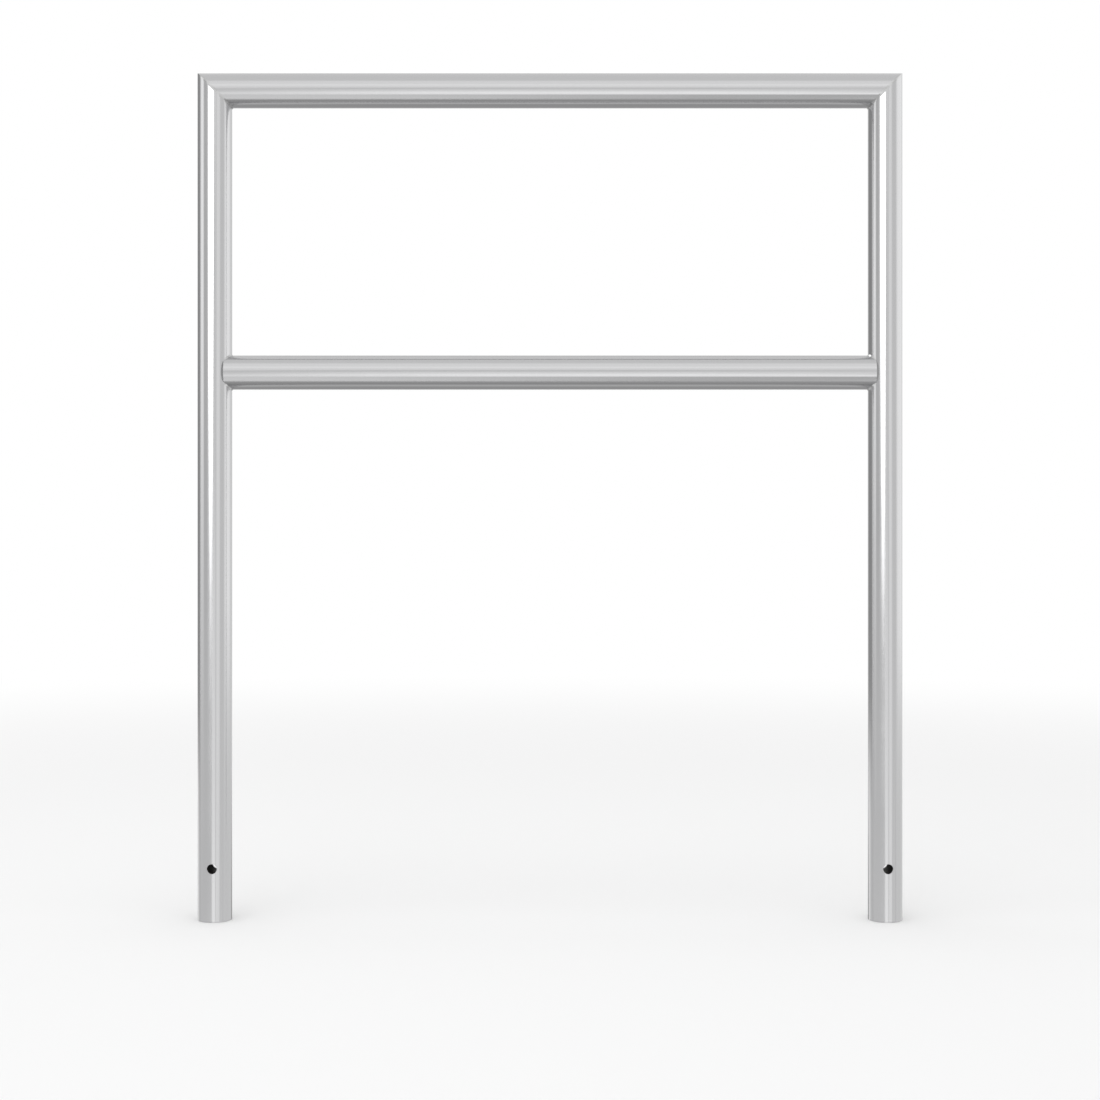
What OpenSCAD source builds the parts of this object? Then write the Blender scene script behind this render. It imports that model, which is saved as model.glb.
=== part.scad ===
// Root-fixed hoop barrier: two legs, a top rail and a cross rail, all of one round tube.
// The tubes are mitred at the top corners and coped where the cross rail meets the legs.
// The origin is the centre of the left leg's cut lower end. X runs along the rails to the
// right leg, Y runs from front to back, and Z points up.

/* [Hoop] */
// Overall width, over the outsides of the legs
hoop_w = 1000; // [600:50:2000]
// Overall height, from the cut ends of the legs to the top of the top rail
hoop_h = 1200; // [1000:50:1500]
// Drop from the axis of the top rail to the axis of the cross rail
cross_drop = 400; // [200:25:600]

/* [Tube] */
// Outer diameter of the round tube
tube_d = 48.3; // [42.4, 48.3, 60.3]
// Wall thickness of the tube
wall = 2.6; // [2, 2.6, 3.2]

/* [Corner welds] */
// Width of the weld band, which is ground flush with the tube
weld_w = 4; // [2:1:6]
// Depth of the weld groove, which leaves the root faces of the mitre touching
weld_depth = 1.5; // [1, 1.25, 1.5, 1.75]

/* [Cross rail ends] */
// Distance from leg axis to the square end of each ear, as a share of the tube radius
ear_share = 0.66; // [0.5:0.02:0.8]
// Run of the fillet weld that fills the space under each ear
fillet_run = 3; // [2:1:5]

/* [Inside corners] */
// Leg length of the flat fillet weld in each inside corner between two tubes
fillet_leg = 1.5; // [1:0.5:4]

/* [Anchor holes] */
// Diameter of the hole drilled through both walls of each leg
hole_d = 14; // [8:1:18]
// Height of the hole's axis above the cut end of the leg
hole_h = 75; // [40:5:150]

/* [Hidden] */
$fn = 96;
tube_r = tube_d / 2;
bore_r = tube_r - wall;
core_r = tube_r - weld_depth;
leg_gap = hoop_w - tube_d;
top_z = hoop_h - tube_r;
cross_z = top_z - cross_drop;
ear_x = ear_share * tube_r;
mitre_angle = 45;
half_turn = 180;
block = 4 * tube_r;
// Along the line that halves an inside corner, from the crossing of the two axes: where the
// weld's face ends in the corner, and where it runs out at the corner of an ear
face_u = (tube_d + fillet_leg) / sqrt(2);
end_u = ear_x * sqrt(2);
end_y = sqrt(tube_r ^ 2 - ear_x ^ 2);
// The round bar that has both these points on its surface
bead_u = (face_u ^ 2 - end_u ^ 2 - end_y ^ 2) / (2 * (face_u - end_u));
bead_r = face_u - bead_u;
over = 1;
steel = [0.77, 0.77, 0.78];

// Round bar along the left leg, over its whole height and a little past both ends
module leg_bar(r, past = 0) {
  translate([0, 0, -past])
    cylinder(h = hoop_h + 2 * past, r = r);
}

// Round bar along X at one height
module rail_bar(r, z, from, to) {
  translate([from, 0, z])
    rotate([0, 90, 0])
      cylinder(h = to - from, r = r);
}

// The left corner between two distances from its mitre plane, which are
// positive on the top rail's side and negative on the leg's side
module mitre_slab(from, to) {
  translate([0, 0, top_z])
    rotate([0, mitre_angle, 0])
      translate([-block / 2, -block / 2, from])
        cube([block, block, to - from]);
}

// What is cut from a tube for the weld at the left corner, down to the core given as child
module weld_groove(from, to) {
  difference() {
    mitre_slab(from, to);
    children();
  }
}

// Two bars of one radius that meet in the mitre of the left corner
module elbow(r) {
  difference() {
    leg_bar(r);
    mitre_slab(0, block);
  }
  difference() {
    rail_bar(r, top_z, -tube_r, block);
    mitre_slab(-block, 0);
  }
}

// Turns a piece at the left leg about to become its twin at the right leg, which
// works because every piece is the same in front and behind
module at_right_leg() {
  translate([leg_gap, 0, 0])
    rotate([0, 0, half_turn])
      children();
}

// Leg: open round tube, mitred at the top and drilled through near its lower end
module leg() {
  color(steel)
    difference() {
      leg_bar(tube_r);
      leg_bar(bore_r, over);
      mitre_slab(0, block);
      weld_groove(-weld_w / 2, over)
        leg_bar(core_r, over);
      translate([0, 0, hole_h])
        rotate([90, 0, 0])
          cylinder(h = tube_d + 2 * over, d = hole_d, center = true);
    }
}

// What is cut from the left end of the top rail: the mitre and the weld groove
module top_rail_end() {
  mitre_slab(-block, 0);
  weld_groove(-over, weld_w / 2)
    rail_bar(core_r, top_z, -block, block);
}

// Top rail: round tube with a mitre at each end
module top_rail() {
  color(steel)
    difference() {
      rail_bar(tube_r, top_z, -tube_r, leg_gap + tube_r);
      rail_bar(bore_r, top_z, -tube_r - over, leg_gap + tube_r + over);
      top_rail_end();
      at_right_leg() top_rail_end();
    }
}

// Cross rail: round tube coped to the legs, with its thin ears cut off square
module cross_rail() {
  color(steel)
    difference() {
      rail_bar(tube_r, cross_z, ear_x, leg_gap - ear_x);
      rail_bar(bore_r, cross_z, ear_x - over, leg_gap - ear_x + over);
      leg_bar(tube_r);
      at_right_leg() leg_bar(tube_r);
    }
}

// Butt weld around the mitre, ground flush with both tubes
module corner_weld() {
  color(steel)
    intersection() {
      mitre_slab(-weld_w / 2, weld_w / 2);
      difference() {
        elbow(tube_r);
        elbow(core_r);
      }
    }
}

// Flat fillet weld in the inside corner between the left leg and a rail, tilted from upright to
// the line that halves the corner: what a bar laid across the corner has clear of both tubes
module inside_fillet(z, tilt) {
  color(steel)
    difference() {
      translate([0, 0, z])
        rotate([0, tilt, 0])
          rail_bar(bead_r, bead_u, -fillet_leg, fillet_leg);
      leg_bar(tube_r);
      rail_bar(tube_r, z, 0, block);
    }
}

// Fillet weld in the inside corner of the mitre
module corner_fillet() {
  inside_fillet(top_z, half_turn - mitre_angle);
}

// Welds at one end of the cross rail: one above and one below it, and one in front and one
// behind in the space between the leg and the inside of each ear
module cross_weld() {
  inside_fillet(cross_z, mitre_angle);
  inside_fillet(cross_z, half_turn - mitre_angle);
  color(steel)
    difference() {
      rail_bar(bore_r, cross_z, ear_x, ear_x + fillet_run);
      leg_bar(tube_r);
    }
}

leg();  // left_leg
at_right_leg() leg();  // right_leg
top_rail();
cross_rail();
corner_weld();  // left_corner_weld
at_right_leg() corner_weld();  // right_corner_weld
corner_fillet();  // left_corner_fillet
at_right_leg() corner_fillet();  // right_corner_fillet
cross_weld();  // left_cross_weld
at_right_leg() cross_weld();  // right_cross_weld
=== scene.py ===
import math

import bpy
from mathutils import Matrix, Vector


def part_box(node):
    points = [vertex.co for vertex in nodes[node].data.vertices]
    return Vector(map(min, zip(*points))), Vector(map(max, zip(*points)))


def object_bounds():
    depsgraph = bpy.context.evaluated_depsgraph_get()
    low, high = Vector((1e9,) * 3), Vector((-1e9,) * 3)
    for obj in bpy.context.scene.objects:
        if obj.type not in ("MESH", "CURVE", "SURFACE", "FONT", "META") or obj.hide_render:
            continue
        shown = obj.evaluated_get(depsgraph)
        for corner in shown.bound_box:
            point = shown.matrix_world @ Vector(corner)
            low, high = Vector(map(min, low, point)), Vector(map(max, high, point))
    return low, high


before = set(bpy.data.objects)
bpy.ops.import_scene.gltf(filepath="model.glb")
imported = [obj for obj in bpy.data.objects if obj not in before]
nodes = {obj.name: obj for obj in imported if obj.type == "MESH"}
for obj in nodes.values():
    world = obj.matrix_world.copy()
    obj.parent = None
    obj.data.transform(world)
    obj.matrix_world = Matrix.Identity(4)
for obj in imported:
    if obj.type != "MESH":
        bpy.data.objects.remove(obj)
cad_low, cad_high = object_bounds()
scene = bpy.context.scene
scene.view_settings.view_transform = "Standard"

# Camera
# The whole hoop is seen square on, from two and a half metres in front of it and from a bit
# under half its height, so that the rails are seen from below and the feet from above.
EYE_HEIGHT = 0.524
EYE_DISTANCE = 2.485
LENS_MM = 57.27

hoop_middle = (cad_low.x + cad_high.x) / 2
camera_data = bpy.data.cameras.new("camera")
camera_data.lens = LENS_MM
camera_data.sensor_width = 36.0
camera = bpy.data.objects.new("camera", camera_data)
camera.location = (hoop_middle, -EYE_DISTANCE, EYE_HEIGHT)
camera.rotation_euler = (math.radians(90), 0, 0)
scene.collection.objects.link(camera)
scene.camera = camera

# Legs
# Two lengths of 48.3 mm stainless tube with a 2.6 mm wall, mitred at the top, sawn off square
# at the foot and drilled through for an anchor bar. The tube is bought ready polished with
# belts that run round it; its bore keeps the dull skin of the rolled strip.
TUBE_RADIUS = 0.02415
BORE_RADIUS = 0.02155
POLISHED_STEEL = "#CFCFD0"
DEBURRED_STEEL = "#D6D6D6"
MILL_STEEL = "#9C9C9B"


def linear(hex_colour):
    """Turns an sRGB hex colour into the linear colour that a shader takes."""
    parts = [int(hex_colour[i:i + 2], 16) / 255 for i in (1, 3, 5)]
    steps = [p / 12.92 if p <= 0.04045 else ((p + 0.055) / 1.055) ** 2.4 for p in parts]
    return (*steps, 1.0)


def add_node(tree, kind, inputs=None, **settings):
    """Adds a node with its own settings, and gives its inputs a value or a link."""
    node = tree.nodes.new(kind)
    for name, value in settings.items():
        setattr(node, name, value)
    for name, value in (inputs or {}).items():
        if isinstance(value, bpy.types.NodeSocket):
            tree.links.new(value, node.inputs[name])
        else:
            node.inputs[name].default_value = value
    return node


def new_finish(name):
    """An empty material, with its node tree."""
    material = bpy.data.materials.new(name)
    material.use_nodes = True
    material.node_tree.nodes.clear()
    return material, material.node_tree


def satin_polished_tube(name, axis, centre):
    """Polished stainless tube that runs along one axis through the point centre."""
    # The belt's marks are rings, so a reflection stays sharp across the tube and is drawn out
    # along it: the eye sees clean stripes from end to end
    along = Vector((axis == "X", 0, axis == "Z"))
    across = Vector((1, 1, 1)) - along
    material, tree = new_finish(name)
    place = add_node(tree, "ShaderNodeTexCoord").outputs["Object"]

    # Belt marks are about 0.05 mm apart, too fine to show, so they are drawn 1.2 mm apart.
    # Each runs about 30 mm round the tube before it changes
    mark_spacing = 0.0012
    mark_length = 0.03
    ring_scale = along / mark_spacing + across / mark_length
    ring_place = add_node(
        tree, "ShaderNodeVectorMath", {0: place, 1: ring_scale}, operation="MULTIPLY"
    )
    rings = add_node(
        tree,
        "ShaderNodeTexNoise",
        {"Vector": ring_place.outputs[0], "Scale": 1.0, "Detail": 3.0, "Roughness": 0.6},
    )
    ring_rough = add_node(
        tree,
        "ShaderNodeMapRange",
        {0: rings.outputs["Fac"], 1: 0.3, 2: 0.7, 3: -0.02, 4: 0.02},
    )
    # Where the belt pressed harder the polish is a little finer, in clouds of about 70 mm
    clouds = add_node(
        tree,
        "ShaderNodeTexNoise",
        {"Vector": place, "Scale": 1 / 0.07, "Detail": 2.0, "Roughness": 0.5},
    )
    cloud_rough = add_node(
        tree,
        "ShaderNodeMapRange",
        {0: clouds.outputs["Fac"], 1: 0.3, 2: 0.7, 3: 0.13, 4: 0.17},
    )
    polish_rough = add_node(
        tree,
        "ShaderNodeMath",
        {0: ring_rough.outputs[0], 1: cloud_rough.outputs[0]},
        operation="ADD",
    )

    # From the bore outwards come the rolled skin, the sawn and filed edge, and the polish
    offset = add_node(tree, "ShaderNodeVectorMath", {0: place, 1: centre}, operation="SUBTRACT")
    flat = add_node(
        tree, "ShaderNodeVectorMath", {0: offset.outputs[0], 1: across}, operation="MULTIPLY"
    )
    radius = add_node(tree, "ShaderNodeVectorMath", {0: flat.outputs[0]}, operation="LENGTH")
    colour = linear(MILL_STEEL)
    rough = 0.36
    blend = 0.0003
    for start, zone_colour, zone_rough in (
        (BORE_RADIUS + 0.0002, DEBURRED_STEEL, 0.28),
        (TUBE_RADIUS - 0.0006, POLISHED_STEEL, polish_rough.outputs[0]),
    ):
        zone = add_node(
            tree,
            "ShaderNodeMapRange",
            {0: radius.outputs["Value"], 1: start, 2: start + blend},
        ).outputs[0]
        colour = add_node(
            tree,
            "ShaderNodeMix",
            {0: zone, 6: colour, 7: linear(zone_colour)},
            data_type="RGBA",
        ).outputs[2]
        rough = add_node(tree, "ShaderNodeMix", {0: zone, 2: rough, 3: zone_rough}).outputs[0]

    bump = add_node(
        tree,
        "ShaderNodeBump",
        {"Height": rings.outputs["Fac"], "Strength": 0.3, "Distance": 0.00001},
    )
    tangent = add_node(tree, "ShaderNodeCombineXYZ", {0: along.x, 1: along.y, 2: along.z})
    steel = add_node(
        tree,
        "ShaderNodeBsdfPrincipled",
        {
            "Base Color": colour,
            "Metallic": 1.0,
            "Roughness": rough,
            "Anisotropic": 0.6,
            "Tangent": tangent.outputs[0],
            "Normal": bump.outputs[0],
        },
    )
    add_node(tree, "ShaderNodeOutputMaterial", {"Surface": steel.outputs[0]})
    return material


def dress(node_name, material):
    """Gives a piece of the CAD model its own finish."""
    mesh = nodes[node_name].data
    mesh.materials.clear()
    mesh.materials.append(material)


for side, outside in (("left", cad_low.x + TUBE_RADIUS), ("right", cad_high.x - TUBE_RADIUS)):
    leg = side + "_leg"
    dress(leg, satin_polished_tube(leg + "_satin_steel", "Z", (outside, 0, 0)))

# Rails
# The same polished tube, laid across. The top rail is mitred at both ends, and the cross rail
# is coped so that its ends lap round the legs, with the thin points of the copes cut off.
for rail in ("top_rail", "cross_rail"):
    low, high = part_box(rail)
    middle_height = (low.z + high.z) / 2
    dress(rail, satin_polished_tube(rail + "_satin_steel", "X", (0, 0, middle_height)))

# Welds
# The mitres are butt welded all round and ground flush, a small fillet fills every inside
# corner, and the cross rail's ends are filled under their lips. All are dressed by hand.


def flap_ground_weld(name, tone):
    """Weld metal dressed with a fine flap wheel, whose marks run every way."""
    # A shade duller than the tube, with stripes that are soft both ways, so it reads as a weld
    material, tree = new_finish(name)
    place = add_node(tree, "ShaderNodeTexCoord").outputs["Object"]
    # The wheel's marks are about 1.5 mm long
    marks = add_node(
        tree, "ShaderNodeTexNoise", {"Vector": place, "Scale": 1 / 0.0015, "Detail": 3.0}
    )
    rough = add_node(
        tree,
        "ShaderNodeMapRange",
        {0: marks.outputs["Fac"], 1: 0.3, 2: 0.7, 3: 0.14, 4: 0.2},
    )
    bump = add_node(
        tree,
        "ShaderNodeBump",
        {"Height": marks.outputs["Fac"], "Strength": 0.3, "Distance": 0.00002},
    )
    steel = add_node(
        tree,
        "ShaderNodeBsdfPrincipled",
        {
            "Base Color": linear(tone),
            "Metallic": 1.0,
            "Roughness": rough.outputs[0],
            "Normal": bump.outputs[0],
        },
    )
    add_node(tree, "ShaderNodeOutputMaterial", {"Surface": steel.outputs[0]})
    return material


# The fillet in the inside corner of each mitre gets a darker tone, which is painted shade in
# that corner
for side in ("left", "right"):
    for weld, tone in (
        ("corner_weld", "#CCCCCC"),
        ("corner_fillet", "#9A9A9A"),
        ("cross_weld", "#CCCCCC"),
    ):
        dress(f"{side}_{weld}", flap_ground_weld(f"{side}_{weld}_flap_ground_steel", tone))

# Floor
# A plain pale floor that keeps the hoop's soft shadow and runs out to white. The steel doesn't
# mirror it, and mirrors the cards that stand under its level instead.
FLOOR_HALF = 60.0
FLOOR_DROP = 0.0005
WHITE_STARTS = 1.0
WHITE_FULL = 5.0


def share_of_looks(tree):
    """One for the rays of the camera, of reflections and through glass, else nought."""
    path = add_node(tree, "ShaderNodeLightPath")
    looks = path.outputs["Is Camera Ray"]
    for kind in ("Is Glossy Ray", "Is Transmission Ray"):
        looks = add_node(
            tree, "ShaderNodeMath", {0: looks, 1: path.outputs[kind]}, operation="MAXIMUM"
        ).outputs[0]
    return looks


floor_material, tree = new_finish("pale_floor")
place = add_node(tree, "ShaderNodeTexCoord").outputs["Object"]
reach = add_node(tree, "ShaderNodeVectorMath", {0: place}, operation="LENGTH")
fade = add_node(
    tree,
    "ShaderNodeMapRange",
    {0: reach.outputs["Value"], 1: WHITE_STARTS, 2: WHITE_FULL},
    interpolation_type="SMOOTHSTEP",
)
white_share = add_node(
    tree, "ShaderNodeMath", {0: fade.outputs[0], 1: share_of_looks(tree)}, operation="MULTIPLY"
)
paint = add_node(tree, "ShaderNodeBsdfDiffuse", {"Color": linear("#F1F1F1")})
white = add_node(tree, "ShaderNodeEmission", {"Strength": 1.0})
mix = add_node(
    tree,
    "ShaderNodeMixShader",
    {0: white_share.outputs[0], 1: paint.outputs[0], 2: white.outputs[0]},
)
add_node(tree, "ShaderNodeOutputMaterial", {"Surface": mix.outputs[0]})

floor_mesh = bpy.data.meshes.new("floor")
corners = [(x * FLOOR_HALF, y * FLOOR_HALF, 0) for x, y in ((-1, -1), (1, -1), (1, 1), (-1, 1))]
floor_mesh.from_pydata(corners, [], [(0, 1, 2, 3)])
floor_mesh.materials.append(floor_material)
floor = bpy.data.objects.new("floor", floor_mesh)
floor.location = (hoop_middle, 0, -FLOOR_DROP)
floor.visible_glossy = False
scene.collection.objects.link(floor)

# Surroundings
# White all round for the camera and for reflections, and a softer white for everything else.
world = bpy.data.worlds.new("studio")
scene.world = world
world.use_nodes = True
tree = world.node_tree
tree.nodes.clear()
strength = add_node(tree, "ShaderNodeMapRange", {0: share_of_looks(tree), 3: 0.88, 4: 1.0})
background = add_node(
    tree, "ShaderNodeBackground", {"Color": (1, 1, 1, 1), "Strength": strength.outputs[0]}
)
add_node(tree, "ShaderNodeOutputWorld", {"Surface": background.outputs[0]})

# Studio cards
# Grey and white cards stand out of view round the hoop, over it and under the level of the
# floor. Polished steel shows nothing but what stands round it, so they draw its stripes.
RING_HEIGHT = 0.6


def ring(distance):
    """Places by azimuth and elevation: 0, 0 is towards the camera, positive is right and up."""
    def place_on_ring(azimuth, elevation):
        turn = math.radians(azimuth)
        rise = math.radians(elevation)
        return (
            hoop_middle + distance * math.sin(turn) * math.cos(rise),
            -distance * math.cos(turn) * math.cos(rise),
            RING_HEIGHT + distance * math.sin(rise),
        )

    return place_on_ring


def level(height):
    """Places at one height, x to the right of the hoop's middle and y behind it."""
    def place_on_level(x, y):
        return (hoop_middle + x, y, height)

    return place_on_level


def studio_card(name, tone, place_of, across, up, soft_sides=0.2, soft_ends=0.2):
    """A card of one tone that fades out to its edges over a share of its width and height."""
    # Across and up say from where to where it reaches, in the two measures of its place
    steps = 32
    points = []
    fades = []
    for j in range(steps + 1):
        for i in range(steps + 1):
            u = i / steps
            v = j / steps
            points.append(
                place_of(
                    across[0] + u * (across[1] - across[0]), up[0] + v * (up[1] - up[0])
                )
            )
            fades.append(min(1.0, min(u, 1 - u) / soft_sides, min(v, 1 - v) / soft_ends))
    faces = []
    for j in range(steps):
        for i in range(steps):
            a = j * (steps + 1) + i
            faces.append((a, a + 1, a + steps + 2, a + steps + 1))
    mesh = bpy.data.meshes.new(name)
    mesh.from_pydata(points, [], faces)
    mesh.attributes.new("fade", "FLOAT", "POINT").data.foreach_set("value", fades)
    material, tree = new_finish(name)
    fade = add_node(tree, "ShaderNodeAttribute", attribute_name="fade")
    clear = add_node(tree, "ShaderNodeBsdfTransparent")
    face = add_node(tree, "ShaderNodeEmission", {"Strength": tone})
    mix = add_node(
        tree,
        "ShaderNodeMixShader",
        {0: fade.outputs["Fac"], 1: clear.outputs[0], 2: face.outputs[0]},
    )
    add_node(tree, "ShaderNodeOutputMaterial", {"Surface": mix.outputs[0]})
    mesh.materials.append(material)
    card = bpy.data.objects.new(name, mesh)
    card.visible_camera = False
    card.visible_diffuse = False
    card.visible_shadow = False
    scene.collection.objects.link(card)


# Round the legs, from behind on the left to behind on the right
studio_card("dark_card_behind_left", 0.34, ring(12.2), (-168, -98), (-9.6, 34), soft_ends=0.07)
studio_card("white_card_left", 1.2, ring(12), (-101, -69), (-8, 60), soft_ends=0.24)
studio_card("grey_card_front_left", 0.62, ring(12.5), (-104, -44), (-5, 50), 0.1, 0.1)
studio_card("grey_strip_ahead", 0.8, ring(20), (10.5, 19), (-24, 22), 0.4, 0.15)
studio_card("grey_card_front_right", 0.78, ring(12.3), (36, 76), (-30, 50))
studio_card("white_card_right", 1.16, ring(12), (75, 134), (-30, 50))
studio_card("pale_card_behind_right", 0.88, ring(12.3), (130, 172), (-30, 34))

# Round the lower part of the legs, which sees what lies low
studio_card("grey_card_low_left", 0.71, ring(22), (-105, -7), (-20, 9), 0.08, 0.18)
studio_card("grey_card_low_behind", 0.71, ring(22.3), (-130, -88), (-24, -3), 0.23, 0.18)
studio_card("pale_card_low_right", 0.82, ring(11), (60, 172), (-50, -4), 0.1, 0.08)

# Round the rails, from overhead down in front of them, under the floor and up behind them
studio_card("grey_card_overhead", 0.81, level(10), (-8, 8), (-6.3, 9), 0.15, 0.15)
studio_card("white_band_above", 1.1, ring(22), (-30, 30), (23, 39))
studio_card("grey_band_ahead", 0.78, ring(22.5), (-14, 14), (-0.5, 15))
studio_card("white_band_below", 1.24, ring(21.5), (-14, 26), (-33.7, -8.8))
studio_card("pale_band_below_left", 0.9, ring(22), (-40, 12), (-72, -25), 0.4, 0.12)
studio_card("grey_band_below_right", 0.6, ring(21.8), (-12, 40), (-72, -25), 0.4, 0.12)
studio_card("grey_card_underneath", 0.6, level(-10), (-20, 20), (-6, 16), 0.1, 0.1)
studio_card("dark_card_underneath", 0.34, level(-9), (-20, 20), (-5.3, 2.0), 0.5, 0.5)
studio_card("dark_card_behind_low", 0.41, ring(8), (148, 212), (-72, -10), 0.1, 0.1)
studio_card("grey_card_behind", 0.66, ring(12), (158, 202), (-12, 54), soft_ends=0.15)

# Lights
# A wide soft box in front on the left draws the white stripe down each leg, as if black flags
# kept it off the rails and the welds. A small one behind on the left glints in the cross
# rail's welds alone, and one overhead, which the steel doesn't mirror, makes the soft shadow.


def soft_box(name, shape, location, target, width, height, radiance):
    """A flat lamp that faces a point, as bright on its face as radiance says."""
    data = bpy.data.lights.new(name, "AREA")
    data.shape = shape
    data.size = width
    data.size_y = height
    area = width * height * (math.pi / 4 if shape == "ELLIPSE" else 1)
    data.energy = radiance * math.pi * area
    lamp = bpy.data.objects.new(name, data)
    lamp.location = location
    facing = Vector(target) - Vector(location)
    lamp.rotation_euler = facing.to_track_quat("-Z", "Y").to_euler()
    lamp.visible_camera = False
    scene.collection.objects.link(lamp)
    return lamp


def shine_only_on(lamp, objects):
    """Keeps a lamp's light off everything but these objects."""
    lit = bpy.data.collections.new("lit_by_" + lamp.name)
    for thing in objects:
        lit.objects.link(thing)
    lamp.light_linking.receiver_collection = lit


key_height = 4.7
key = soft_box(
    "key_soft_box",
    "ELLIPSE",
    (-5.49, -15.55, key_height),
    (hoop_middle, 0, key_height),
    11.2,
    8.8,
    1.65,
)
shine_only_on(key, (nodes["left_leg"], nodes["right_leg"], floor))

glint = soft_box("small_soft_box", "RECTANGLE", (-1.3, 2.2, 4.0), (0.93, 0, 0.8), 1.8, 1.2, 2.2)
shine_only_on(glint, (nodes["left_cross_weld"], nodes["right_cross_weld"]))

overhead = soft_box(
    "overhead_soft_box", "RECTANGLE", (0.0, -0.8, 4.5), (hoop_middle, 0, 0), 3.0, 3.0, 1.5
)
overhead.visible_glossy = False
